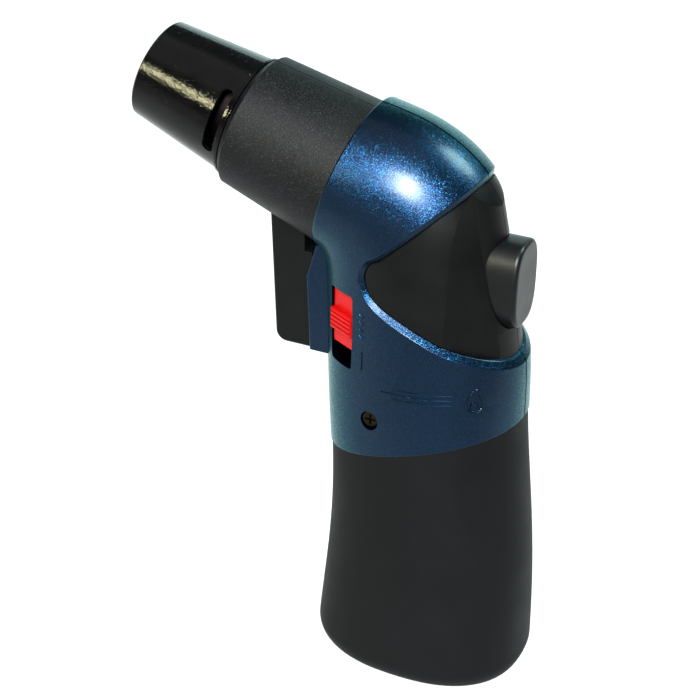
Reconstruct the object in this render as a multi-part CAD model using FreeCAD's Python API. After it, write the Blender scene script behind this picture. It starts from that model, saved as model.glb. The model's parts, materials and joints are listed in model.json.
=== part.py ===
"""A hand-held butane torch for jewellery work, in millimetres, +Z up, +X towards the flame, +Y to its left.

The oval handle is the fuel tank and the foot that the torch stands on. Its origin is the centre of the foot.
A two-part blue housing closes on the tank's neck and bends over into the barrel, which tilts 18.5 degrees up.
A black two-part frame fills the housing's open back and carries the thumb button. The thumb button fires the
piezo unit. The front trigger turns a bell crank that lifts the outlet valve's stem, and the red slider locks
the trigger. The valve feeds a jet at the back of the burner tube through a short hose.
"""
import FreeCAD, Part
import math
import os

V = FreeCAD.Vector

# ---------------------------------------------------------------- driving dimensions
WALL = 1.5                   # moulded wall of the housing and the frame
SEAM_GAP = 0.2               # open parting line between two moulded halves
BARREL_TILT = math.radians(18.5)
BARREL_ORIGIN = V(20.66, 0, 114.17)   # centre of the ring where the barrel leaves the housing
BARREL_REAR_R = 16.2
BARREL_FRONT_R = 14.75
BARREL_LENGTH = 24.0
NOZZLE_ROOT_R = 13.05
NOZZLE_TIP_R = 10.9
NOZZLE_TIP_S = 48.6          # distance from the ring along the barrel's axis
BAND_Z = 60.4                # height of the housing's lower edge on the Z axis
BAND_SLOPE = 0.3             # that edge rises towards the back by this much per millimetre
TANK_WALL = 1.8
VALVE_X = -3.0               # the outlet valve's axis
PIVOT = V(-11.0, 0, 71.5)    # the bell crank's pin
BUTTON_Z = 97.4              # the thumb button's middle
BUTTON_FACE_X = -18.7
BUTTON_HALF_Y = 6.6
BUTTON_HALF_Z = 9.4
PIEZO_Z = 98.5               # the piezo plunger's axis
TRIGGER_TRAVEL = 2.0
FILL_X = 9.0                 # the fill valve's axis, in front of the foot's centre
FOOT_SCREW_X = -14.6
PLATE_Y = (9.3, 10.7)        # the carrier's side plates
SCREW_X = 8.2
SCREW_Z = 66.7
SCREW_SEAT_Y = 15.05         # the floor of the counterbore under the screw's head
LOCK_ANGLE = math.radians(28.5)       # the slider's outward normal, turned from +Y towards +X
LOCK_CENTRE = V(16.9, 13.5, 0)        # the point of the housing's surface where the slider sits

# Stations of the outer skin: front point, back point (x, z), half width, roundness of the oval.
HANDLE_STATIONS = [
    ((25.6, 0), (-25.1, 0), 19.9, 2.3),
    ((23.9, 20), (-24.5, 20), 19.4, 2.3),
    ((22.8, 40), (-23.1, 40), 18.7, 2.2),
    ((23.3, 57), (-21.3, 57), 18.1, 2.15),
    ((24.2, 72), (-20.3, 72), 17.5, 2.15),
    ((24.7, 86), (-19.0, 86), 16.9, 2.15),
]
ELBOW_STATIONS = [
    ((24.8, 91.0), (-17.1, 98.0), 16.8, 2.15),
    ((25.1, 94.6), (-14.6, 110.8), 16.8, 2.1),
    ((25.3, 96.8), (-7.5, 121.4), 16.95, 2.05),
    ((25.5, 97.8), (3.0, 128.0), 17.1, 2.0),
    ((25.9, 98.6), (15.0, 131.2), 17.2, 2.0),
]
OVAL_POINTS = 24


# ---------------------------------------------------------------- shared shapes
def bspline_wire(points):
    """A smooth closed wire through the points."""
    curve = Part.BSplineCurve()
    curve.interpolate(Points=points, PeriodicFlag=True)
    return Part.Wire([curve.toShape()])


def oval_wire(front, back, half_width, roundness, inset=0.0):
    """A closed oval across the skin, in the plane that holds its front and back points and the Y direction."""
    front, back = V(front[0], 0, front[1]), V(back[0], 0, back[1])
    along = (front - back).normalize()
    middle = (front + back) * 0.5
    half_length = front.distanceToPoint(back) / 2 - inset
    half_width -= inset
    points = []
    for i in range(OVAL_POINTS):
        c = math.cos(2 * math.pi * i / OVAL_POINTS)
        s = math.sin(2 * math.pi * i / OVAL_POINTS)
        x = math.copysign(abs(c) ** (2 / roundness), c) * half_length
        y = math.copysign(abs(s) ** (2 / roundness), s) * half_width
        points.append(middle + along * x + V(0, y, 0))
    return bspline_wire(points)


def skin(stations, inset=0.0):
    """The solid inside the outer skin, moved inwards by inset."""
    return Part.makeLoft([oval_wire(*station, inset) for station in stations], True, False)


def box(x0, x1, y0, y1, z0, z1):
    return Part.makeBox(x1 - x0, y1 - y0, z1 - z0, V(x0, y0, z0))


def side_prism(outline, y0, y1):
    """An outline of (x, z) points, pushed from y0 to y1."""
    points = [V(x, y0, z) for x, z in outline]
    face = Part.Face(Part.makePolygon(points + points[:1]))
    return face.extrude(V(0, y1 - y0, 0))


def cylinder(x, y, z0, z1, radius):
    return Part.makeCylinder(radius, z1 - z0, V(x, y, z0), V(0, 0, 1))


def pin_y(x, z, y0, y1, radius):
    return Part.makeCylinder(radius, y1 - y0, V(x, y0, z), V(0, 1, 0))


BARREL_AXIS = V(math.cos(BARREL_TILT), 0, math.sin(BARREL_TILT))
BARREL_UP = V(-math.sin(BARREL_TILT), 0, math.cos(BARREL_TILT))


def on_barrel(s, up=0.0, left=0.0):
    """The point at distance s along the barrel's axis, up and left of it."""
    return BARREL_ORIGIN + BARREL_AXIS * s + BARREL_UP * up + V(0, left, 0)


def barrel_solid(profile):
    """Turns a closed profile of (s, radius) points round the barrel's axis."""
    points = [on_barrel(s, r) for s, r in profile]
    face = Part.Face(Part.makePolygon(points + points[:1]))
    return face.revolve(BARREL_ORIGIN, BARREL_AXIS, 360)


def barrel_rod(s0, s1, radius, up=0.0, left=0.0):
    return Part.makeCylinder(radius, s1 - s0, on_barrel(s0, up, left), BARREL_AXIS)


def halves(solid):
    """The left and right halves of a moulding, with the parting line open between them."""
    reach = 200
    left = solid.common(box(-reach, reach, SEAM_GAP / 2, reach, -reach, reach))
    right = solid.common(box(-reach, reach, -reach, -SEAM_GAP / 2, -reach, reach))
    return left, right


def below_band(raise_by=0.0):
    """Everything under the slanted plane of the housing's lower edge."""
    reach = 60
    front = BAND_Z - BAND_SLOPE * reach + raise_by
    back = BAND_Z + BAND_SLOPE * reach + raise_by
    return side_prism([(-reach, -10), (reach, -10), (reach, front), (-reach, back)], -reach, reach)


def tube_path(points, bend=0.45):
    """Straight runs through the points, joined by tangent arcs as large as the runs allow."""
    points = [V(*p) for p in points]
    edges, start = [], points[0]
    for before, corner, after in zip(points, points[1:], points[2:]):
        a, b = (before - corner), (after - corner)
        shorter = min(a.Length, b.Length)
        a.normalize()
        b.normalize()
        turn = math.pi - a.getAngle(b)
        cut = bend * shorter
        radius = cut / math.tan(turn / 2)
        p, q = corner + a * cut, corner + b * cut
        inwards = (a + b).normalize()
        centre = corner + inwards * (radius / math.cos(turn / 2))
        mid = centre - inwards * radius
        edges.append(Part.LineSegment(start, p).toShape())
        edges.append(Part.Arc(p, mid, q).toShape())
        start = q
    edges.append(Part.LineSegment(start, points[-1]).toShape())
    return Part.Wire(edges)


def tube(points, radius, bore=0.0):
    path = tube_path(points)
    first = V(*points[1]) - V(*points[0])

    def sweep(r):
        ring = Part.Wire([Part.makeCircle(r, V(*points[0]), first)])
        return path.makePipeShell([ring], True, True)

    return sweep(radius).cut(sweep(bore)) if bore else sweep(radius)


def coil(centre, axis, radius, wire, length, turns):
    """A compression spring as one swept helix."""
    pitch = length / turns
    helix = Part.makeHelix(pitch, length, radius)
    start = V(radius, 0, 0)
    lead = V(0, 2 * math.pi * radius, pitch)
    ring = Part.Wire([Part.makeCircle(wire, start, lead)])
    spring = Part.Wire(helix.Edges).makePipeShell([ring], True, True)
    spring.Placement = FreeCAD.Placement(V(*centre), FreeCAD.Rotation(V(0, 0, 1), V(*axis)))
    return spring


def button_outline(x, grow=0.0):
    """The thumb button's rounded upright outline in the plane at x."""
    roundness = 2.9
    points = []
    for i in range(OVAL_POINTS):
        c = math.cos(2 * math.pi * i / OVAL_POINTS)
        s = math.sin(2 * math.pi * i / OVAL_POINTS)
        y = math.copysign(abs(c) ** (2 / roundness), c) * (BUTTON_HALF_Y + grow)
        z = math.copysign(abs(s) ** (2 / roundness), s) * (BUTTON_HALF_Z + grow)
        points.append(V(x, y, BUTTON_Z + z))
    return Part.Face(bspline_wire(points))


# ---------------------------------------------------------------- tank and fill valve
FOOT_RADIUS = 6.0
FLOOR_INSET = 8.0            # the floor plate's edge, in from the handle's skin
FLOOR_TOP = 2.4
LEDGE_TOP = 5.4


def tank_skin(inset):
    """The handle's skin up to the band."""
    return skin(HANDLE_STATIONS[:5], inset)


def level_slice(inset, z0, z1):
    """The part of the handle's skin between two heights, moved inwards."""
    return tank_skin(inset).common(box(-60, 60, -60, 60, z0, z1))


def tank_shell():
    step = 0.35
    outer = tank_skin(step).common(below_band(-0.05))
    foot = [e for e in outer.Edges if e.BoundBox.ZMax < 0.01]
    outer = outer.makeFillet(FOOT_RADIUS, foot)
    neck = tank_skin(WALL + 0.15).common(below_band(3.0)).cut(below_band(-2.0))
    neck_pocket = tank_skin(WALL + TANK_WALL).common(below_band(9)).cut(below_band(1.5))
    shell = outer.fuse(neck).cut(neck_pocket)
    cavity = tank_skin(step + TANK_WALL).common(below_band(-1.5)).cut(box(-60, 60, -60, 60, -5, LEDGE_TOP))
    shell = shell.cut(cavity).cut(level_slice(FLOOR_INSET, -1, FLOOR_TOP))
    shell = shell.cut(level_slice(FLOOR_INSET + 1.5, FLOOR_TOP, LEDGE_TOP))
    valve_boss = cylinder(VALVE_X, 0, 59.5, 64.4, 6.0)
    foot_boss = cylinder(FOOT_SCREW_X, 0, 63.0, 66.8, 2.4)
    shell = shell.fuse([valve_boss, foot_boss])
    return shell.cut(cylinder(VALVE_X, 0, 50, 66, 3.6)).cut(cylinder(FOOT_SCREW_X, 0, 63.2, 67, 0.8))


def tank_floor():
    """The plate that closes the tank from below, with a rib inside the ledge and a boss for the fill valve."""
    rib = level_slice(FLOOR_INSET + 1.6, FLOOR_TOP, LEDGE_TOP - 1).cut(level_slice(FLOOR_INSET + 3, 0, LEDGE_TOP))
    boss = cylinder(FILL_X, 0, FLOOR_TOP, 6.2, 5.8)
    floor = level_slice(FLOOR_INSET, 0, FLOOR_TOP).fuse([rib, boss])
    return floor.cut(cylinder(FILL_X, 0, -1, 9, 3.6))


def gasket(x, z0, z1):
    return cylinder(x, 0, z0, z1, 5.2).cut(cylinder(x, 0, z0 - 1, z1 + 1, 3.6))


def fill_valve_body():
    body = cylinder(FILL_X, 0, 0.6, 14, 3.6).fuse(cylinder(FILL_X, 0, 6.8, 8.2, 5.4))
    body = body.cut(cylinder(FILL_X, 0, 0, 4.2, 1.6)).cut(cylinder(FILL_X, 0, 4.2, 13.0, 2.6))
    return body.cut(cylinder(FILL_X, 0, 12.5, 15, 1.0))


def fill_valve_stem():
    head = cylinder(FILL_X, 0, 4.3, 5.3, 1.25)
    return head.fuse([cylinder(FILL_X, 0, 5.3, 6.5, 2.2), cylinder(FILL_X, 0, 6.5, 10.6, 0.8)])


def fill_valve_spring():
    return coil((FILL_X, 0, 6.8), (0, 0, 1), 1.6, 0.22, 5.9, 6)


def fill_valve_seal():
    return gasket(FILL_X, 6.2, 6.8)


# ---------------------------------------------------------------- outlet valve, crank and trigger
CRANK_Y = (4.2, 6.4)
LEVER_REACH = VALVE_X - PIVOT.x


def outlet_valve_body():
    body = cylinder(VALVE_X, 0, 54, 65, 3.6)
    body = body.fuse([cylinder(VALVE_X, 0, 65, 66.6, 4.8), cylinder(VALVE_X, 0, 66.6, 69.2, 2.6)])
    body = body.cut(cylinder(VALVE_X, 0, 55.5, 66, 2.0)).cut(cylinder(VALVE_X, 0, 65.5, 70, 1.15))
    return body.cut(cylinder(VALVE_X, 0, 53, 56, 0.9))


def outlet_valve_seal():
    return gasket(VALVE_X, 64.4, 65.0)


def valve_stem():
    collar = cylinder(VALVE_X, 0, 72.5, 73.7, 2.6)
    barb = cylinder(VALVE_X, 0, 73.7, 79.0, 0.9)
    seat = cylinder(VALVE_X, 0, 60.0, 61.5, 1.6)
    return cylinder(VALVE_X, 0, 61.5, 72.5, 1.1).fuse([collar, barb, seat]).removeSplitter()


def valve_spring():
    return coil((VALVE_X, 0, 61.75), (0, 0, 1), 1.55, 0.15, 3.5, 5)


def flame_adjuster():
    ring = cylinder(VALVE_X, 0, 66.9, 68.4, 4.6)
    arm = box(VALVE_X - 1.5, VALVE_X + 1.5, -17.0, -3.5, 66.9, 68.4)
    knob = box(VALVE_X - 2.0, VALVE_X + 2.0, -19.3, -16.6, 67.05, 68.25)
    knob = knob.makeFillet(0.4, [e for e in knob.Edges if e.BoundBox.YMax < -18 and e.Length < 5])
    return ring.fuse([arm, knob]).cut(cylinder(VALVE_X, 0, 66, 69, 2.66)).removeSplitter()


def valve_lever():
    """The bell crank: the trigger's bar pushes its arm back, and its fork lifts the stem's collar."""
    hub = pin_y(PIVOT.x, PIVOT.z, -8.9, 8.9, 2.2)
    fork = box(PIVOT.x, VALVE_X + 0.8, -3.2, 3.2, PIVOT.z - 0.8, PIVOT.z + 0.8)
    fork = fork.cut(box(VALVE_X - 1.5, VALVE_X + 2, -1.45, 1.45, PIVOT.z - 2, PIVOT.z + 2))
    arm = side_prism([(PIVOT.x - 1.6, PIVOT.z), (PIVOT.x + 1.8, PIVOT.z), (PIVOT.x + 1.8, 88.2),
                      (PIVOT.x - 0.2, 88.2)], *CRANK_Y)
    return hub.fuse([fork, arm]).cut(pin_y(PIVOT.x, PIVOT.z, -12, 12, 1.23)).removeSplitter()


def lever_pin():
    return pin_y(PIVOT.x, PIVOT.z, -PLATE_Y[1], PLATE_Y[1], 1.2)


TRIGGER_FRONT_X = 36.4
TRIGGER_BACK_X = 27.0
TRIGGER_TOP_BACK_X = 28.8
TRIGGER_HALF_Y = 6.5
TRIGGER_BASE_Z = 74.4


def trigger():
    """The finger trigger, with the bar that reaches back to the crank and the lug that the lock catches."""
    block = side_prism([(TRIGGER_BACK_X, TRIGGER_BASE_Z), (TRIGGER_FRONT_X - 0.7, TRIGGER_BASE_Z),
                        (TRIGGER_FRONT_X + 0.7, 106), (TRIGGER_TOP_BACK_X, 106), (TRIGGER_TOP_BACK_X, 97.35),
                        (TRIGGER_BACK_X, 97.35)], -TRIGGER_HALF_Y, TRIGGER_HALF_Y)
    toe = [e for e in block.Edges if e.BoundBox.XLength < 0.01 and e.BoundBox.ZLength < 0.01
           and e.BoundBox.XMin > 30 and e.BoundBox.ZMax < TRIGGER_BASE_Z + 0.01]
    block = block.makeFillet(2.6, toe)
    rims = [e for e in block.Edges if e.BoundBox.XMin > TRIGGER_BACK_X + 3 and e.BoundBox.YLength < 0.01]
    block = block.makeFillet(0.7, rims)
    sunk = 1.0
    above = barrel_solid([(-6, 0), (-6, BARREL_REAR_R - sunk), (0, BARREL_REAR_R - sunk),
                          (BARREL_LENGTH, BARREL_FRONT_R - sunk), (BARREL_LENGTH, 0)])
    block = block.cut(above)
    bar = box(PIVOT.x + 2.1, TRIGGER_BACK_X + 1, *CRANK_Y, 86.2, 88.2)
    root = box(18, TRIGGER_BACK_X + 1, *CRANK_Y, 84.0, 88.2)
    lug = box(14.9, 15.5, CRANK_Y[1] - 0.5, 9.9, 84.6, 88.2)
    pocket = Part.makeCylinder(3.0, 2.8, V(TRIGGER_BACK_X, 0, 80.5), V(1, 0, 0))
    return block.fuse([bar, root, lug]).cut(pocket).removeSplitter()


def trigger_spring():
    return coil((22.35, 0, 80.5), (1, 0, 0), 2.3, 0.25, 6.8, 6)


# ---------------------------------------------------------------- chassis, piezo unit and thumb button
PIEZO_X = (-2.5, 20.5)
PIEZO_TOP = PIEZO_Z + 5.0


def chassis():
    """The inner carrier: two side plates, the piezo's tray and front stop, and a foot screwed to the tank."""
    near, far = PLATE_Y
    outline = [(-13.0, 68.8), (15, 68.8), (15, 104), (-6.5, 104), (-6.5, 78), (-13.0, 78)]
    plates = side_prism(outline, near, far).fuse(side_prism(outline, -far, -near))
    plates = plates.cut(box(8.5, 16, -12, 12, 80.5, 90.4)).cut(box(-4, 6, -12, 12, 73.5, 90.0))
    tray = box(-1.9, 15, -near, near, 91.9, 93.4).fuse(box(15, 22, -5.5, 5.5, 91.9, 93.4))
    tray = tray.cut(box(-2.6, 1.4, -9.0, -5.0, 91, 94))
    stop = box(20.5, 22, -5.5, 5.5, 91.9, PIEZO_TOP + 1).fuse(box(20.5, 22, -3.9, 3.9, 76.5, 91.9))
    stop = stop.cut(Part.makeCylinder(1.6, 4, V(19, 0, PIEZO_Z + 0.2), V(1, 0, 0)))
    foot = box(-16.2, -12.0, -4.0, 4.0, 66.8, 68.8).fuse(box(-13.0, -12.0, -far, far, 67.8, 68.8))
    body = plates.fuse([tray, stop, foot]).cut(box(12.2, 16, 8.2, 12, 80.5, 92.2))
    body = body.cut(box(12.2, 16, 9.9, 12, 74.8, 95.4)).cut(cylinder(FOOT_SCREW_X, 0, 66, 70, 1.0))
    return body.cut(pin_y(PIVOT.x, PIVOT.z, -12, 12, 1.2)).cut(pin_y(SCREW_X, SCREW_Z, -12, 12, 3.5)).removeSplitter()


def chassis_screw():
    """A small pan-head screw with a cross recess."""
    screw = cylinder(FOOT_SCREW_X, 0, 63.5, 68.8, 0.8).fuse(cylinder(FOOT_SCREW_X, 0, 68.8, 69.7, 1.55))
    slot = box(-1.0, 1.0, -0.2, 0.2, 69.25, 70).fuse(box(-0.2, 0.2, -1.0, 1.0, 69.25, 70))
    slot.translate(V(FOOT_SCREW_X, 0, 0))
    return screw.cut(slot)


def piezo_body():
    body = box(PIEZO_X[0], PIEZO_X[1], -4, 4, 93.4, PIEZO_TOP)
    body = body.makeFillet(0.8, [e for e in body.Edges if e.BoundBox.XMax - e.BoundBox.XMin > 5])
    return body.cut(box(PIEZO_X[0] - 1, 9.2, -2.9, 2.9, PIEZO_Z - 3.4, PIEZO_Z + 3.4))


def piezo_plunger():
    return box(-7.0, 3.5, -2.8, 2.8, PIEZO_Z - 3.3, PIEZO_Z + 3.3)


def thumb_button():
    """A hollow cap with a rounded face, a retaining flange and a post that pushes the plunger."""
    cap = button_outline(BUTTON_FACE_X).extrude(V(-8.5 - BUTTON_FACE_X, 0, 0))
    face_edges = [e for e in cap.Edges if e.BoundBox.XMax < BUTTON_FACE_X + 0.01]
    cap = cap.makeFillet(1.0, face_edges)
    flange = button_outline(-8.5, 1.0).extrude(V(1.5, 0, 0)).cut(box(-10, -5, -12, 12, 80, 88.6))
    hollow = button_outline(BUTTON_FACE_X + 1.8, -1.5).extrude(V(12, 0, 0))
    post = box(BUTTON_FACE_X + 1.5, -7.0, -2.4, 2.4, PIEZO_Z - 3, PIEZO_Z + 3)
    return cap.fuse(flange).cut(hollow).fuse(post).removeSplitter()


# ---------------------------------------------------------------- lock slider
def lock_frame(solid):
    """Moves a shape from the slider's own frame (x across, y outwards, z up) to its place on the housing."""
    solid.Placement = FreeCAD.Placement(LOCK_CENTRE, FreeCAD.Rotation(V(0, 0, 1), -math.degrees(LOCK_ANGLE)))
    return solid


LOCK_Z = (80.7, 93.4)
LOCK_SLOT_Z = (76.7, 93.7)
LOCK_HALF_WIDTH = 3.45
LOCK_FACE = -1.0             # the plate's face, below the skin


def lock_slot():
    slot = box(-LOCK_HALF_WIDTH - 0.35, LOCK_HALF_WIDTH + 0.35, -4, 4, *LOCK_SLOT_Z)
    slot = slot.makeFillet(0.7, [e for e in slot.Edges if e.BoundBox.YMax - e.BoundBox.YMin > 5])
    return lock_frame(slot)


def lock_slider():
    """The red slider: a plate in the slot, a ridged thumb pad on it, and a tab that catches the trigger's lug."""
    plate = box(-LOCK_HALF_WIDTH, LOCK_HALF_WIDTH, -2.8, LOCK_FACE, *LOCK_Z)
    plate = plate.makeFillet(0.5, [e for e in plate.Edges if e.BoundBox.YMax - e.BoundBox.YMin > 1])
    pad = box(-LOCK_HALF_WIDTH, LOCK_HALF_WIDTH, LOCK_FACE - 0.3, 0.25, 84.0, 88.7)
    pad = pad.makeFillet(0.4, [e for e in pad.Edges if e.BoundBox.YMin > 0])
    ridges = [box(-4, 4, -0.15, 1, z, z + 0.5) for z in (84.75, 85.75, 86.75, 87.75)]
    keeper = box(-4.3, 4.3, -3.5, -2.65, LOCK_Z[0] - 0.6, LOCK_Z[1] + 0.6)
    slider = lock_frame(plate.fuse([pad, keeper]).cut(Part.makeCompound(ridges)))
    tab = box(13.8, 14.6, 8.6, 12.2, 88.6, 91.2)
    return slider.fuse(tab).removeSplitter()


# ---------------------------------------------------------------- housing and frame
WINDOW_APEX = (10.9, 98.2)
WINDOW_TOP = (-12.5, 121.5)
WINDOW_BACK = (-22.5, 79.0)
WINDOW_LIP = [(9.6, 95.2), (6.6, 92.7), (2.0, 90.4), (-2.4, 88.3), (-6.6, 86.3), (-12.5, 84.1)]
REACH = 60
LIP_BEVEL = 1.1


def window_prism(grow=0.0):
    """The housing's open back: a straight upper edge, a round nose and a curved lower lip, cut right across."""
    top = V(WINDOW_TOP[0] + 0.67 * grow, -REACH, WINDOW_TOP[1] + 0.74 * grow)
    shoulder = V(7.6 + 0.67 * grow, -REACH, 103.5 + 0.74 * grow)
    nose = V(WINDOW_APEX[0] + grow, -REACH, WINDOW_APEX[1])
    lip = [V(x, -REACH, z - 1.1 * grow) for x, z in WINDOW_LIP]
    back = V(WINDOW_BACK[0], -REACH, WINDOW_BACK[1] - 1.1 * grow)
    curve = Part.BSplineCurve()
    curve.interpolate(Points=[shoulder, nose] + lip + [back])
    corners = [back, V(-REACH, -REACH, back.z - 14), V(-REACH, -REACH, 165), top, shoulder]
    wire = Part.Wire([curve.toShape()] + Part.makePolygon(corners).Edges)
    return Part.Face(wire).extrude(V(0, 2 * REACH, 0))


FLANGE_HALF_Y = 8.0
FLANGE_OUTLINE = [(18, 74.9), (26.9, 74.9), (27.8, 92.2), (25.6, 99.9), (18, 99.9)]


def flange_block():
    block = side_prism(FLANGE_OUTLINE, -FLANGE_HALF_Y, FLANGE_HALF_Y)
    block = block.makeFillet(0.6, [e for e in block.Edges if e.BoundBox.XMin > 25 and e.BoundBox.YLength < 0.01])
    return block.cut(barrel_rod(-0.1, 8, BARREL_REAR_R + 0.15))


def round_edges(solid, wanted):
    """The long curved edges that go round the solid and whose box passes the test."""
    curved = [e for e in solid.Edges if e.Length > 40 and e.Curve.TypeId != "Part::GeomLine"]
    return [e for e in curved if e.BoundBox.YLength > 10 and wanted(e.BoundBox)]


def parting_groove(stations):
    """The shallow channel that runs round the outside of the skin over the parting line."""
    return box(-REACH, REACH, -0.25, 0.25, 40, 160).cut(skin(stations, 0.4))


def housing():
    """The blue housing as one hollow shell, before it is parted into halves."""
    stations = HANDLE_STATIONS[2:] + ELBOW_STATIONS
    inner = skin(stations, WALL)
    outer = skin(stations).cut(below_band()).cut(barrel_rod(-0.1, 8, 30)).cut(window_prism())
    outer = outer.makeChamfer(LIP_BEVEL, round_edges(outer, lambda b: b.ZMin > 75 and b.XMax < 12))
    bevel_edges = [e for e in outer.Edges if e.Length > 60 and e.BoundBox.ZMin > 75 and e.BoundBox.XMax < 12.5]
    outer = outer.makeFillet(0.25, bevel_edges)
    outer = outer.makeFillet(0.3, round_edges(outer, lambda b: b.ZMax < 72))
    outer = outer.makeFillet(0.4, round_edges(outer, lambda b: b.XMin > 12))
    shell = outer.fuse(flange_block()).cut(inner)
    half_mouth = TRIGGER_HALF_Y + 0.25
    mouth = box(16, 30, -half_mouth, half_mouth, 76.2, 97.3).fuse(box(24.9, 30, -half_mouth, half_mouth, 73, 97.7))
    shell = shell.cut(mouth).cut(barrel_rod(-7, 2, 15.45))
    left_boss = pin_y(SCREW_X, SCREW_Z, 0.4, 16.6, 3.2).common(inner)
    right_boss = pin_y(SCREW_X, SCREW_Z, -16.6, -0.4, 3.2).common(inner)
    shell = shell.fuse([left_boss, right_boss])
    shell = shell.cut(pin_y(SCREW_X, SCREW_Z, SCREW_SEAT_Y, 30, 2.15)).cut(pin_y(SCREW_X, SCREW_Z, -1, 16, 1.2))
    shell = shell.cut(pin_y(SCREW_X, SCREW_Z, -10, -0.2, 0.9)).cut(lock_slot())
    adjuster_slot = box(VALVE_X - 9.4, VALVE_X + 8.6, -30, -8, 66.7, 68.6)
    return shell.cut(adjuster_slot).removeSplitter().cut(parting_groove(stations))


# The frame's tapered back at four levels: height, crease (x, y), flat flank's end (x, y), round nose's x.
WEDGE_LEVELS = [
    (70, (-6.6, 14.8), (-18.0, 6.6), -19.9),
    (88, (-6.3, 14.6), (-15.6, 6.6), -17.2),
    (104, (-6.0, 14.2), (-11.3, 6.6), -14.4),
    (126, (-5.4, 12.2), (-6.0, 6.0), -9.6),
]


def wedge_wire(z, crease, flank, nose):
    """A level section of the frame's tapered back: flat flanks, turning inwards at the crease to a round nose."""
    left = [V(40, 30, z), V(crease[0], 30, z), V(*crease, z), V(*flank, z)]
    right = [V(p.x, -p.y, z) for p in reversed(left)]
    edges = Part.makePolygon(left).Edges
    edges.append(Part.Arc(left[-1], V(nose, 0, z), right[0]).toShape())
    edges += Part.makePolygon(right).Edges + [Part.LineSegment(right[-1], left[0]).toShape()]
    return Part.Wire(edges)


def wedge(inset=0.0):
    """The tapered back between its lowest and highest levels, moved forwards by inset."""
    wires = []
    for z, crease, flank, nose in WEDGE_LEVELS:
        crease = (crease[0] + inset * 0.5, crease[1] - inset * 0.3)
        wires.append(wedge_wire(z, crease, (flank[0] + inset, flank[1]), nose + inset))
    return Part.makeLoft(wires, True, True)


def frame():
    """The black frame in the housing's open back, as one hollow shell with the button's guide hole."""
    stations = HANDLE_STATIONS[2:] + ELBOW_STATIONS
    skin_inset = WALL + 0.05
    outer = skin(stations, skin_inset).common(wedge())
    inner = skin(stations, skin_inset + WALL).common(wedge(2.0))
    proud = skin(stations, 0.9).common(wedge()).common(window_prism(-0.25))
    side = window_prism(1.6)
    shell = outer.common(side).fuse(proud).cut(inner)
    shell = shell.cut(button_outline(-30, 0.3).extrude(V(25, 0, 0)))
    return shell.removeSplitter()


def housing_screw():
    """A pan-head screw with a cross recess, in the left half's counterbore."""
    head_y = SCREW_SEAT_Y
    screw = pin_y(SCREW_X, SCREW_Z, -8.0, head_y, 0.88).fuse(pin_y(SCREW_X, SCREW_Z, head_y, head_y + 1.4, 2.0))
    rim = [e for e in screw.Edges if e.BoundBox.YMin > head_y + 1.39]
    screw = screw.makeFillet(0.45, rim)
    cross = box(SCREW_X - 1.2, SCREW_X + 1.2, head_y + 0.5, head_y + 2, SCREW_Z - 0.25, SCREW_Z + 0.25).fuse(
        box(SCREW_X - 0.25, SCREW_X + 0.25, head_y + 0.5, head_y + 2, SCREW_Z - 1.2, SCREW_Z + 1.2))
    return screw.cut(cross)


# ---------------------------------------------------------------- barrel, nozzle and burner
BARREL_WALL = 1.6
BURNER_R = 8.0
BURNER_S = (4.0, 42.0)


def barrel():
    """The tapered sleeve round the burner, with a collar inside the housing's mouth and a slot for the trigger."""
    outer = barrel_solid([(0, 0), (0, BARREL_REAR_R), (BARREL_LENGTH, BARREL_FRONT_R),
                          (BARREL_LENGTH + 1.3, NOZZLE_ROOT_R + 0.35), (BARREL_LENGTH + 1.3, 0)])
    collar = barrel_rod(-6, 0, 15.35).cut(box(10, 30, -9, 9, 90, 101.8))
    bore = barrel_solid([(-7, 0), (-7, BARREL_REAR_R - BARREL_WALL), (0, BARREL_REAR_R - BARREL_WALL),
                         (22.6, BARREL_FRONT_R - BARREL_WALL + 0.1), (22.6, 0)])
    mouth = barrel_rod(20, 30, NOZZLE_ROOT_R + 0.1)
    rib = barrel_solid([(16.6, 12.2), (16.6, 14.3), (18.0, 14.3), (18.0, 12.2)])
    gap = 0.35
    slot = box(TRIGGER_TOP_BACK_X - TRIGGER_TRAVEL - gap, TRIGGER_FRONT_X + 0.65 + gap,
               -TRIGGER_HALF_Y - gap, TRIGGER_HALF_Y + gap, 90, 107)
    return outer.fuse(collar).cut(bore).cut(mouth).fuse(rib).cut(slot).removeSplitter()


SLOT_S = 28.2
SLOT_HALF = 1.35
SLOT_ANGLE = 10.0            # the left slot's middle, above the horizontal
SLOT_REACH = 27.5            # half the angle between the centres of the slot's round ends


def nozzle_slot(middle):
    """One air slot round the nozzle's side, with rounded ends."""
    face = Part.Face(Part.makePolygon([on_barrel(SLOT_S - SLOT_HALF, 9.5), on_barrel(SLOT_S + SLOT_HALF, 9.5),
                                       on_barrel(SLOT_S + SLOT_HALF, 16), on_barrel(SLOT_S - SLOT_HALF, 16),
                                       on_barrel(SLOT_S - SLOT_HALF, 9.5)]))
    slot = face.revolve(BARREL_ORIGIN, BARREL_AXIS, 2 * SLOT_REACH)
    ends = [Part.makeCylinder(SLOT_HALF, 6.5, on_barrel(SLOT_S, 9.5), BARREL_UP)]
    ends.append(ends[0].copy())
    ends[1].rotate(BARREL_ORIGIN, BARREL_AXIS, 2 * SLOT_REACH)
    slot = slot.fuse(ends)
    slot.rotate(BARREL_ORIGIN, BARREL_AXIS, middle - SLOT_REACH)
    return slot


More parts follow.
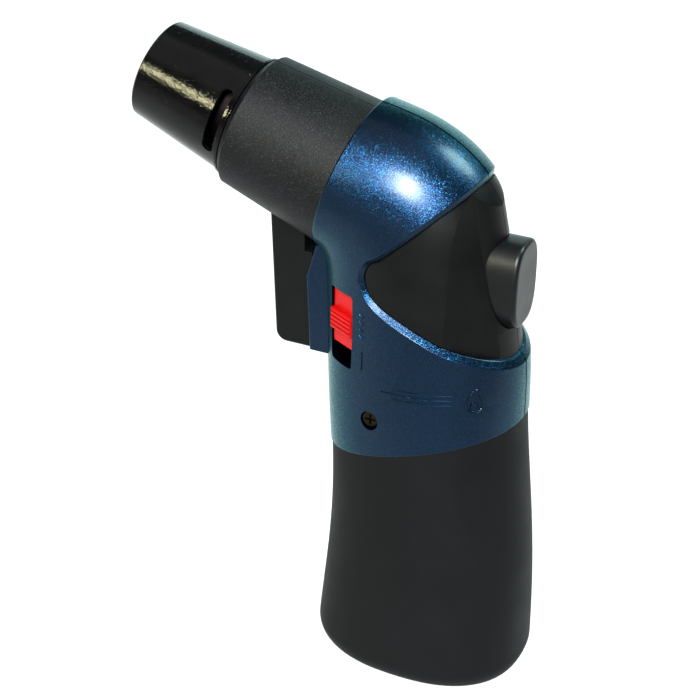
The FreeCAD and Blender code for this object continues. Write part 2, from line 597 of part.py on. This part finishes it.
def nozzle():
    wall = 0.9
    root_s = BARREL_LENGTH + 1.0
    bead_s = BARREL_LENGTH + 1.4
    lip = 0.35
    shell = barrel_solid([(18.4, NOZZLE_ROOT_R - wall), (18.4, 13.4), (19.6, 13.4), (19.6, NOZZLE_ROOT_R - 0.05),
                          (root_s, NOZZLE_ROOT_R - 0.05), (bead_s, NOZZLE_ROOT_R), (bead_s + 0.15, NOZZLE_ROOT_R + 0.4),
                          (bead_s + 0.65, NOZZLE_ROOT_R + 0.4), (bead_s + 0.9, NOZZLE_ROOT_R - 0.05),
                          (NOZZLE_TIP_S - lip, NOZZLE_TIP_R + 0.02), (NOZZLE_TIP_S, NOZZLE_TIP_R - lip),
                          (NOZZLE_TIP_S, NOZZLE_TIP_R - wall), (root_s, NOZZLE_ROOT_R - wall)])
    up_to_left = -90.0       # from straight up round the axis to the left side
    shell = shell.cut(nozzle_slot(up_to_left + SLOT_ANGLE))
    return shell.cut(nozzle_slot(up_to_left + 180 + SLOT_ANGLE))


def burner_tube():
    shell = barrel_rod(*BURNER_S, BURNER_R).cut(barrel_rod(BURNER_S[0] - 1, BURNER_S[1] + 1, BURNER_R - 0.8))
    for i in range(4):
        hole = Part.makeCylinder(1.7, 12, on_barrel(11), BARREL_UP)
        hole.rotate(BARREL_ORIGIN, BARREL_AXIS, 45 + 90 * i)
        shell = shell.cut(hole)
    return shell


def flame_holder():
    """The perforated plug that the flame stands on: rings of holes round a larger one."""
    plug = barrel_rod(36.5, 41.2, BURNER_R - 0.8)
    holes = [barrel_rod(36, 42, 1.3)]
    for count, circle, radius in ((6, 3.1, 0.75), (12, 5.5, 0.6)):
        for i in range(count):
            angle = 2 * math.pi * i / count
            holes.append(barrel_rod(36, 42, radius, circle * math.cos(angle), circle * math.sin(angle)))
    return plug.cut(Part.makeCompound(holes))


def burner_collar():
    """The disc that centres the burner tube in the barrel and lets air past."""
    disc = barrel_rod(13, 14.6, 13.6).cut(barrel_rod(12, 16, BURNER_R))
    for i in range(8):
        angle = math.radians(22.5 + 45 * i)
        disc = disc.cut(barrel_rod(12, 16, 1.5, 10.9 * math.cos(angle), 10.9 * math.sin(angle)))
    return disc.cut(barrel_rod(12, 16, 1.2, INSULATOR_UP))


def jet_holder():
    flange = barrel_rod(4.0, 7.0, BURNER_R - 0.8)
    body = barrel_rod(-5.0, 4.0, 4.6)
    barb = barrel_rod(-12.0, -5.0, 1.1).fuse(barrel_rod(-6.2, -5.0, 2.2))
    return flange.fuse([body, barb]).cut(barrel_rod(-13, 8, 0.6)).removeSplitter()


def gas_jet():
    return barrel_rod(7.0, 10.0, 1.9).cut(barrel_rod(6, 9.2, 0.6)).cut(barrel_rod(9, 11, 0.2))


INSULATOR_UP = -9.6


def insulator():
    return barrel_rod(9.0, 35.0, 1.2, INSULATOR_UP).cut(barrel_rod(8, 36, 0.45, INSULATOR_UP))


def electrode():
    """The spark wire: straight through the insulator, then bent in over the flame holder."""
    line = [on_barrel(12, INSULATOR_UP), on_barrel(41.5, INSULATOR_UP), on_barrel(44.0, -8.0), on_barrel(44.6, -3.6)]
    return tube([tuple(p) for p in line], 0.45)


def gas_hose():
    start = (VALVE_X, 0, 76.2)
    end = on_barrel(-6.2)
    return tube([start, (VALVE_X, 0, 84.0), (-0.8, -7.2, 89.0), (-0.8, -7.2, 104.6), (1.5, -1.6, 108.0),
                 tuple(on_barrel(-14.5)), tuple(end)], 1.75, 1.2)


def ignition_lead():
    start = (PIEZO_X[1] + 0.05, 0, PIEZO_Z)
    return tube([start, (23.4, 0, PIEZO_Z), (25.9, 0, 104.2), tuple(on_barrel(5.5, INSULATOR_UP)),
                 tuple(on_barrel(9.0, INSULATOR_UP))], 0.9)


# ---------------------------------------------------------------- write every piece
def build():
    housing_left, housing_right = halves(housing())
    frame_left, frame_right = halves(frame())
    barrel_left, barrel_right = halves(barrel())
    return {
        "tank_shell": tank_shell(), "tank_floor": tank_floor(),
        "fill_valve_body": fill_valve_body(), "fill_valve_stem": fill_valve_stem(),
        "fill_valve_spring": fill_valve_spring(), "fill_valve_seal": fill_valve_seal(),
        "outlet_valve_body": outlet_valve_body(), "outlet_valve_seal": outlet_valve_seal(),
        "valve_stem": valve_stem(), "valve_spring": valve_spring(), "flame_adjuster": flame_adjuster(),
        "valve_lever": valve_lever(), "lever_pin": lever_pin(), "trigger": trigger(),
        "trigger_spring": trigger_spring(), "chassis": chassis(), "chassis_screw": chassis_screw(),
        "piezo_body": piezo_body(), "piezo_plunger": piezo_plunger(), "thumb_button": thumb_button(),
        "lock_slider": lock_slider(), "housing_left": housing_left, "housing_right": housing_right,
        "frame_left": frame_left, "frame_right": frame_right, "housing_screw": housing_screw(),
        "barrel_left": barrel_left, "barrel_right": barrel_right, "nozzle": nozzle(),
        "burner_tube": burner_tube(), "flame_holder": flame_holder(), "burner_collar": burner_collar(),
        "jet_holder": jet_holder(), "gas_jet": gas_jet(), "insulator": insulator(), "electrode": electrode(),
        "gas_hose": gas_hose(), "ignition_lead": ignition_lead(),
    }


def main():
    os.makedirs("parts", exist_ok=True)
    for name, shape in build().items():
        solids = shape.Solids
        piece = solids[0] if len(solids) == 1 else Part.makeCompound(solids)
        piece.exportStep(os.path.join("parts", name + ".step"))
        size = piece.BoundBox
        print(f"{name:20s} solids {len(solids)} valid {piece.isValid()} volume {piece.Volume:9.1f} "
              f"x {size.XMin:6.1f} {size.XMax:6.1f} y {size.YMin:6.1f} {size.YMax:6.1f} z {size.ZMin:6.1f} {size.ZMax:6.1f}")


main()
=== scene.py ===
"""Looks of a butane torch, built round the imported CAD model.

Metres, with +Z up, +X to the flame and +Y to the torch's left.
"""

import json
import math

import bmesh
import bpy
from mathutils import Matrix, Vector
from mathutils.bvhtree import BVHTree


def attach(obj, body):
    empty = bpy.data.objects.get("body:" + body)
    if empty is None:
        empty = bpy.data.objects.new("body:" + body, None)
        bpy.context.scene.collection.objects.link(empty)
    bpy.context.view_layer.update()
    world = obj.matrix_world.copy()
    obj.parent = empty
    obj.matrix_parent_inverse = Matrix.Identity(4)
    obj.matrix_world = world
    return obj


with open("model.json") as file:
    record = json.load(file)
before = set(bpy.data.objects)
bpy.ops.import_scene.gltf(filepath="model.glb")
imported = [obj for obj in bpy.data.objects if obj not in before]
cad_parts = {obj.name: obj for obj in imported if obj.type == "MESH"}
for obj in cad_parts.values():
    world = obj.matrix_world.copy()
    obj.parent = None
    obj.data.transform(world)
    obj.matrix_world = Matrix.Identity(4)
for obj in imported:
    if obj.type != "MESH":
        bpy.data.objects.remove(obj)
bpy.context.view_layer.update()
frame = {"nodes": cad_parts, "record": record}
NODES = frame["nodes"]
MM = 0.001
TO_MM = 1000.0


# ---------------------------------------------------------------- node material helpers
class Shader:
    """A procedural material: thin helpers round one node tree, in object coordinates in mm."""

    def __init__(self, name):
        self.material = bpy.data.materials.new(name)
        self.material.use_nodes = True
        self.tree = self.material.node_tree
        self.bsdf = self.tree.nodes["Principled BSDF"]
        coords = self.tree.nodes.new("ShaderNodeTexCoord")
        scale = self.tree.nodes.new("ShaderNodeVectorMath")
        scale.operation = "SCALE"
        scale.inputs["Scale"].default_value = TO_MM
        self.link(coords.outputs["Object"], scale.inputs[0])
        self.mm = scale.outputs[0]

    def link(self, a, b):
        self.tree.links.new(a, b)

    def node(self, kind, **settings):
        made = self.tree.nodes.new("ShaderNode" + kind)
        for key, value in settings.items():
            setattr(made, key, value)
        return made

    def set(self, **values):
        for key, value in values.items():
            self.bsdf.inputs[key.replace("_", " ")].default_value = value

    def noise(self, scale, detail=3.0, roughness=0.55, vector=None):
        made = self.node("TexNoise")
        made.inputs["Scale"].default_value = scale
        made.inputs["Detail"].default_value = detail
        made.inputs["Roughness"].default_value = roughness
        self.link(vector or self.mm, made.inputs["Vector"])
        return made.outputs["Fac"]

    def cells(self, scale, output="Color", feature="F1"):
        made = self.node("TexVoronoi", feature=feature)
        made.inputs["Scale"].default_value = scale
        self.link(self.mm, made.inputs["Vector"])
        return made.outputs[output]

    def ramp(self, value, *stops):
        made = self.node("ValToRGB")
        while len(made.color_ramp.elements) < len(stops):
            made.color_ramp.elements.new(0.5)
        for element, (place, colour) in zip(made.color_ramp.elements, stops):
            element.position = place
            element.color = (*colour, 1) if len(colour) == 3 else colour
        self.link(value, made.inputs["Fac"])
        return made.outputs["Color"]

    def between(self, value, low, high, start=0.3, end=0.7):
        made = self.node("MapRange")
        made.inputs["From Min"].default_value = start
        made.inputs["From Max"].default_value = end
        made.inputs["To Min"].default_value = low
        made.inputs["To Max"].default_value = high
        self.link(value, made.inputs["Value"])
        return made.outputs["Result"]

    def math(self, operation, a, b):
        made = self.node("Math", operation=operation)
        for slot, value in zip(made.inputs, (a, b)):
            if isinstance(value, (int, float)):
                slot.default_value = value
            else:
                self.link(value, slot)
        return made.outputs[0]

    def mix(self, factor, a, b):
        made = self.node("Mix", data_type="RGBA")
        for slot, value in ((made.inputs[0], factor), (made.inputs[6], a), (made.inputs[7], b)):
            if isinstance(value, (int, float)):
                slot.default_value = value
            elif isinstance(value, tuple):
                slot.default_value = (*value, 1)
            else:
                self.link(value, slot)
        return made.outputs[2]

    def add(self, a, b):
        """The sum of two vectors, such as a normal and its tilt."""
        made = self.node("VectorMath", operation="ADD")
        self.link(a, made.inputs[0])
        self.link(b, made.inputs[1])
        return made.outputs[0]

    def bump(self, height, strength, distance, under=None):
        """A normal raised by a height; under is another bump that this one lies on."""
        made = self.node("Bump")
        made.inputs["Strength"].default_value = strength
        made.inputs["Distance"].default_value = distance
        self.link(height, made.inputs["Height"])
        if under is not None:
            self.link(under, made.inputs["Normal"])
        return made.outputs["Normal"]

    def out(self, name, value):
        self.link(value, self.bsdf.inputs[name])


def moulded_black(name, dark, light, rough, grain, grain_height, specular, speck_share=0.0):
    """Matt moulded plastic: spark-eroded grain, slow changes of gloss, and a few pale specks."""
    s = Shader(name)
    slow = s.noise(0.12, 4.0)
    fine = s.noise(grain, 2.0, 0.6)
    specks = s.ramp(s.noise(3.4, 1.0, 0.8), (0.60, (0, 0, 0)), (0.68, (1, 1, 1)))
    blend = s.math("ADD", s.math("MULTIPLY", slow, 0.5), s.math("MULTIPLY", fine, 0.5))
    body = s.ramp(blend, (0.32, dark), (0.68, light))
    # a share of pale specks mixed into the body colour
    s.out("Base Color", s.mix(s.math("MULTIPLY", specks, speck_share), body, (0.10, 0.10, 0.12)))
    gloss = s.between(slow, rough - 0.05, rough + 0.05)
    s.out("Roughness", s.math("ADD", gloss, s.between(fine, -0.03, 0.03)))
    s.set(Specular_IOR_Level=specular)
    s.out("Normal", s.bump(fine, 0.5, grain_height))
    return s.material


CENTRE_OF_CELL = (0.5, 0.5, 0.5)


def blue_pearl():
    """Dark pearl lacquer: fine blue flakes that each tilt their own way, under a thin glossy clear coat."""
    s = Shader("blue_pearl_lacquer")
    coarse = s.cells(6.8)
    fine = s.cells(11.0)
    slow = s.noise(0.05, 3.0)
    apart = s.node("SeparateColor")
    s.link(coarse, apart.inputs[0])
    blend = s.math("ADD", s.math("MULTIPLY", apart.outputs[0], 0.35), s.math("MULTIPLY", slow, 0.65))
    body = s.ramp(blend, (0.25, (0.0020, 0.0115, 0.034)), (0.75, (0.0030, 0.0172, 0.050)))
    bright = s.ramp(apart.outputs[1], (0.88, (0, 0, 0)), (0.93, (1, 1, 1)))
    s.out("Base Color", s.mix(bright, body, (0.003, 0.034, 0.060)))
    s.set(Metallic=1.0, Specular_Tint=(0.50, 0.80, 0.80, 1))
    s.set(Coat_Weight=0.42, Coat_Roughness=0.24, Coat_IOR=1.42)
    s.out("Roughness", s.between(slow, 0.27, 0.31))
    total = s.node("NewGeometry").outputs["Normal"]
    for cells, amount in ((coarse, 0.30), (fine, 0.24)):
        centred = s.node("VectorMath", operation="SUBTRACT")
        s.link(cells, centred.inputs[0])
        centred.inputs[1].default_value = CENTRE_OF_CELL
        tilt = s.node("VectorMath", operation="SCALE")
        tilt.inputs["Scale"].default_value = amount
        s.link(centred.outputs[0], tilt.inputs[0])
        total = s.add(total, tilt.outputs[0])
    unit = s.node("VectorMath", operation="NORMALIZE")
    s.link(total, unit.inputs[0])
    s.out("Normal", unit.outputs[0])
    return s.material


def black_chrome():
    """Glossy black plated sheet with faint waves, pits and a slightly warm reflection."""
    s = Shader("black_plated_nozzle")
    slow = s.noise(0.25, 4.0)
    pits = s.ramp(s.noise(1.6, 3.0, 0.7), (0.68, (0, 0, 0)), (0.76, (1, 1, 1)))
    s.out("Base Color", s.ramp(slow, (0.3, (0.0008, 0.0007, 0.0008)), (0.7, (0.0016, 0.0015, 0.0015))))
    s.set(Metallic=0.0, Specular_IOR_Level=0.16, Specular_Tint=(1.0, 0.99, 0.94, 1))
    s.out("Roughness", s.math("ADD", s.between(slow, 0.09, 0.13), s.math("MULTIPLY", pits, 0.2)))
    s.out("Normal", s.bump(s.noise(2.0, 2.0, 0.6), 0.9, 0.00006, s.bump(pits, 0.8, 0.0001)))
    return s.material


def red_gloss():
    """Glossy red moulding that lets a little light in."""
    s = Shader("red_moulding")
    slow = s.noise(0.4, 3.0)
    s.out("Base Color", s.ramp(slow, (0.3, (0.25, 0.0016, 0.0018)), (0.7, (0.30, 0.0024, 0.0024))))
    s.out("Roughness", s.between(slow, 0.3, 0.42))
    s.set(Specular_IOR_Level=0.12, Subsurface_Weight=0.05, Subsurface_Scale=0.001)
    s.out("Normal", s.bump(s.noise(6.0, 2.0), 0.25, 0.00003))
    return s.material


def metal(name, colour, rough, tint=None):
    """Machined or drawn metal: fine lines, uneven polish and a trace of tarnish."""
    s = Shader(name)
    slow = s.noise(0.4, 4.0)
    lines = s.noise(9.0, 2.0)
    other = tint or tuple(c * 0.7 for c in colour)
    s.out("Base Color", s.mix(s.between(slow, 0.0, 0.6), colour, other))
    s.set(Metallic=1.0)
    polish = s.between(slow, rough - 0.06, rough + 0.08)
    s.out("Roughness", s.math("ADD", polish, s.between(lines, -0.04, 0.04)))
    s.out("Normal", s.bump(lines, 0.25, 0.00002))
    return s.material


def plain(name, colour, rough, grain=4.0, height=0.00003):
    """A simple inner material: slow changes of shade and gloss over a fine grain."""
    s = Shader(name)
    slow = s.noise(0.5, 4.0)
    dark = tuple(c * 0.75 for c in colour)
    s.out("Base Color", s.ramp(slow, (0.3, dark), (0.7, colour)))
    s.out("Roughness", s.between(slow, rough - 0.05, rough + 0.05))
    s.set(Specular_IOR_Level=0.5)
    s.out("Normal", s.bump(s.noise(grain, 2.0), 0.4, height))
    return s.material


MATERIALS = {
    "grip": moulded_black(
        "soft_grip", (0.0010, 0.0009, 0.0012), (0.0018, 0.0017, 0.0021), 0.60, 6.0, 0.00003, 0.10),
    "black_plastic": moulded_black(
        "matt_black", (0.0009, 0.0009, 0.0010), (0.0018, 0.0018, 0.0018), 0.40, 5.0, 0.00003, 0.12),
    "button_plastic": moulded_black(
        "satin_button", (0.0009, 0.0009, 0.0011), (0.0018, 0.0018, 0.0020), 0.38, 5.0, 0.00003, 0.22),
    "barrel_plastic": moulded_black(
        "barrel_grain", (0.0002, 0.0002, 0.0003), (0.0034, 0.0034, 0.0040), 0.5, 4.5, 0.00016, 0.13, 0.14),
    "blue_paint": blue_pearl(),
    "red_plastic": red_gloss(),
    "chassis_plastic": plain("carrier_plastic", (0.018, 0.018, 0.02), 0.5),
    "piezo_plastic": plain("piezo_case", (0.30, 0.295, 0.27), 0.35),
    "black_chrome": black_chrome(),
    "steel": metal("plain_steel", (0.42, 0.41, 0.40), 0.3),
    "screw_steel": metal("dark_screw", (0.020, 0.016, 0.012), 0.4, tint=(0.010, 0.007, 0.005)),
    # near-black steel, darkened so the burner shows dark through the nozzle's slot
    "dark_steel": metal("near_black_steel", (0.009, 0.006, 0.006), 0.55, tint=(0.006, 0.004, 0.005)),
    "brass": metal("turned_brass", (0.50, 0.34, 0.14), 0.26, tint=(0.28, 0.17, 0.06)),
    "ceramic": plain("white_ceramic", (0.34, 0.33, 0.30), 0.6, 5.0, 0.00004),
    "seal": plain("black_gasket", (0.008, 0.008, 0.008), 0.6),
    "hose": plain("gas_hose_rubber", (0.02, 0.02, 0.02), 0.45),
    "lead": plain("red_lead", (0.25, 0.015, 0.01), 0.4),
}

# ---------------------------------------------------------------- raised marks moulded into the left housing
SHELL = NODES["housing_left"]
SHELL_TREE = BVHTree.FromObject(SHELL, bpy.context.evaluated_depsgraph_get())
OUTSIDE_SHELL_Y = 40
BAR_FOOT = -0.12


def on_shell(x, z):
    """The point and outward direction on the housing's left side over a place given in mm."""
    place, normal, _, _ = SHELL_TREE.ray_cast(Vector((x, OUTSIDE_SHELL_Y, z)) * MM, Vector((0, -1, 0)))
    return place, normal


def raised_line(bm, path, width, height, closed=False):
    """A low bar with chamfered edges that follows a path over the shell, in mm."""
    spots = [on_shell(x, z) for x, z in path]
    count = len(spots)
    outline = ((-0.5, BAR_FOOT), (-0.5, 0.55 * height), (-0.28, height),
               (0.28, height), (0.5, 0.55 * height), (0.5, BAR_FOOT))
    rings = []
    for i, (place, normal) in enumerate(spots):
        after = spots[(i + 1) % count][0] if closed or i < count - 1 else place
        before = spots[i - 1][0] if closed or i > 0 else place
        side = normal.cross(after - before).normalized()
        rings.append([bm.verts.new(place + side * (a * width * MM) + normal * (b * MM)) for a, b in outline])
    pairs = list(zip(rings, rings[1:])) + ([(rings[-1], rings[0])] if closed else [])
    corners = len(outline)
    for one, two in pairs:
        for k in range(corners):
            after = (k + 1) % corners
            bm.faces.new((one[k], one[after], two[after], two[k]))
    if not closed:
        bm.faces.new(rings[0])
        bm.faces.new(list(reversed(rings[-1])))


def mark(name, lines):
    """One named set of raised lines, in the shell's own lacquer."""
    bm = bmesh.new()
    for path, width, height, closed in lines:
        raised_line(bm, path, width, height, closed)
    bmesh.ops.recalc_face_normals(bm, faces=bm.faces)
    mesh = bpy.data.meshes.new(name)
    bm.to_mesh(mesh)
    bm.free()
    made = bpy.data.objects.new(name, mesh)
    mesh.materials.append(MATERIALS["blue_paint"])
    bpy.context.scene.collection.objects.link(made)
    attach(made, "shell")


def drop(x, z, size, steps=28):
    """A flame-shaped drop: round at the foot and pointed at the top."""
    points = []
    for i in range(steps):
        t = 2 * math.pi * i / steps
        wide = 0.36 * math.sin(t) * (0.35 + 0.65 * math.sin(t / 2) ** 2)
        points.append((x + size * wide, z + size * 0.5 * math.cos(t)))
    return points


def span(x0, z0, x1, z1, steps=12):
    """Evenly spaced points on a straight line."""
    return [(x0 + (x1 - x0) * i / steps, z0 + (z1 - z0) * i / steps) for i in range(steps + 1)]


# each line is its path, its width and height in mm, and whether it closes on itself
mark("band_flame_mark", [(drop(-13.6, 74.9, 5.4), 0.5, 0.3, True),
                         (drop(-13.6, 73.9, 2.5), 0.4, 0.28, True)])
mark("band_line_marks", [(span(-9.6, 74.9 + dz, 5.6 - abs(dz) * 2.4, 74.4 + dz, 30), 0.5, 0.28, False)
                         for dz in (-1.1, 0.0, 1.1)])
mark("slider_marks", [(span(10.8, 77.8, 10.8, 81.8), 0.4, 0.22, False)]
     + [([(11.5, z), (10.8, z - 0.75), (10.1, z)], 0.38, 0.24, False) for z in (90.6, 89.0, 87.4, 85.8)])

# nodes whose look differs from their record slot: near-black steel for the tube and collar seen through the
# nozzle's slot, and the satin button
SPECIAL_FINISH = {
    "burner_tube": "dark_steel",
    "burner_collar": "dark_steel",
    "thumb_button": "button_plastic",
}
for part in frame["record"]["subparts"]:
    node = NODES[part["node"]]
    node.data.materials.clear()
    finish = SPECIAL_FINISH.get(part["node"], part["material_slot"])
    node.data.materials.append(MATERIALS[finish])


# ---------------------------------------------------------------- camera, floor and light
VIEW_TURN = 24.51
VIEW_LIFT = 28.64
VIEW_ROLL = 1.18
VIEW_TARGET = (20.72, 0, 72.27)
VIEW_DISTANCE = 369.0
LENS = 86.2
SENSOR_WIDTH = 36
TOWARDS_VIEWER = (-0.415, 0.91, 0.0)
# painted glow of the floor: strong near the torch, weak towards the viewer
GLOW_NEAR, GLOW_FAR = 0.84, 0.12
FADE_START, FADE_END = 70.0, 155.0


def make_camera():
    """A view from the torch's left and above, with a slight roll. Angles in degrees, places in mm."""
    azimuth, elevation, roll = (math.radians(angle) for angle in (VIEW_TURN, VIEW_LIFT, VIEW_ROLL))
    back = Vector((-math.sin(azimuth) * math.cos(elevation), math.cos(azimuth) * math.cos(elevation),
                   math.sin(elevation)))
    right = Vector((-math.cos(azimuth), -math.sin(azimuth), 0))
    up = back.cross(right)
    right, up = (right * math.cos(roll) + up * math.sin(roll),
                 up * math.cos(roll) - right * math.sin(roll))
    data = bpy.data.cameras.new("camera")
    data.sensor_width = SENSOR_WIDTH
    data.lens = LENS
    data.clip_start, data.clip_end = 0.01, 20
    camera = bpy.data.objects.new("camera", data)
    target = Vector(VIEW_TARGET) * MM
    place = Matrix((right, up, back)).transposed().to_4x4()
    place.translation = target + back * VIEW_DISTANCE * MM
    camera.matrix_world = place
    bpy.context.scene.collection.objects.link(camera)
    bpy.context.scene.camera = camera


def make_floor():
    """Pale paper with a painted glow, so shadows stay faint; the glow fades towards the viewer as painted
    shade.
    """
    bpy.ops.mesh.primitive_plane_add(size=6, location=(0, 0, 0))
    floor = bpy.context.object
    floor.name = "floor"
    s = Shader("pale_paper_painted_glow")
    slow = s.noise(0.004, 3.0)
    s.out("Base Color", s.ramp(slow, (0.3, (0.155, 0.158, 0.160)), (0.7, (0.165, 0.167, 0.168))))
    s.out("Emission Color", s.ramp(slow, (0.3, (0.96, 0.985, 0.99)), (0.7, (0.985, 0.995, 1.0))))
    # painted shade: the floor's glow dims towards the viewer's side, which darkens the floor seen in
    # reflections
    towards = s.node("VectorMath", operation="DOT_PRODUCT")
    s.link(s.mm, towards.inputs[0])
    towards.inputs[1].default_value = TOWARDS_VIEWER
    glow = s.between(towards.outputs["Value"], GLOW_NEAR, GLOW_FAR, FADE_START, FADE_END)
    s.out("Emission Strength", glow)
    s.set(Roughness=0.8, Specular_IOR_Level=0.1)
    floor.data.materials.append(s.material)


def sun(name, azimuth, elevation, strength, spread, colour=(1, 1, 1)):
    """A soft distant light that comes from the given azimuth and elevation, in degrees."""
    data = bpy.data.lights.new(name, "SUN")
    data.energy = strength
    data.angle = math.radians(spread)
    data.color = colour
    lamp = bpy.data.objects.new(name, data)
    turn, lift = math.radians(azimuth), math.radians(elevation)
    towards = Vector((math.cos(turn) * math.cos(lift), math.sin(turn) * math.cos(lift), math.sin(lift)))
    lamp.location = towards * 0.8
    lamp.rotation_mode = "QUATERNION"
    lamp.rotation_quaternion = towards.to_track_quat("Z", "Y")
    bpy.context.scene.collection.objects.link(lamp)


def area_light(name, place, target, size, watts, colour=(1, 1, 1)):
    """A rectangular lamp at a place, turned towards a target."""
    data = bpy.data.lights.new(name, "AREA")
    data.shape = "RECTANGLE"
    data.size, data.size_y = size
    data.energy = watts
    data.color = colour
    lamp = bpy.data.objects.new(name, data)
    lamp.location = place
    lamp.rotation_mode = "QUATERNION"
    lamp.rotation_quaternion = (Vector(place) - Vector(target)).to_track_quat("Z", "Y")
    bpy.context.scene.collection.objects.link(lamp)


make_camera()
make_floor()
# three close suns make one long soft highlight on the shoulder
for turn, lift in ((104, 27), (108, 34), (110, 41)):
    sun("front_light", turn, lift, 4.0, 12, (0.93, 0.99, 1.0))
sun("side_light", 64, 22, 1.8, 7, (1.0, 0.96, 0.60))
sun("back_light", 221, 48, 3.6, 22, (0.66, 1.0, 0.88))
sun("overhead", 60, 75, 0.5, 60)
area_light("backdrop", (0.55, -1.25, 0.45), (0.02, 0, 0.1), (2.2, 0.7), 9.0, (0.72, 1.0, 0.97))
world = bpy.data.worlds.new("pale_world")
world.use_nodes = True
world.node_tree.nodes["Background"].inputs["Color"].default_value = (0.80, 0.92, 1.0, 1)
world.node_tree.nodes["Background"].inputs["Strength"].default_value = 0.14
bpy.context.scene.world = world
bpy.context.scene.view_settings.view_transform = "Standard"
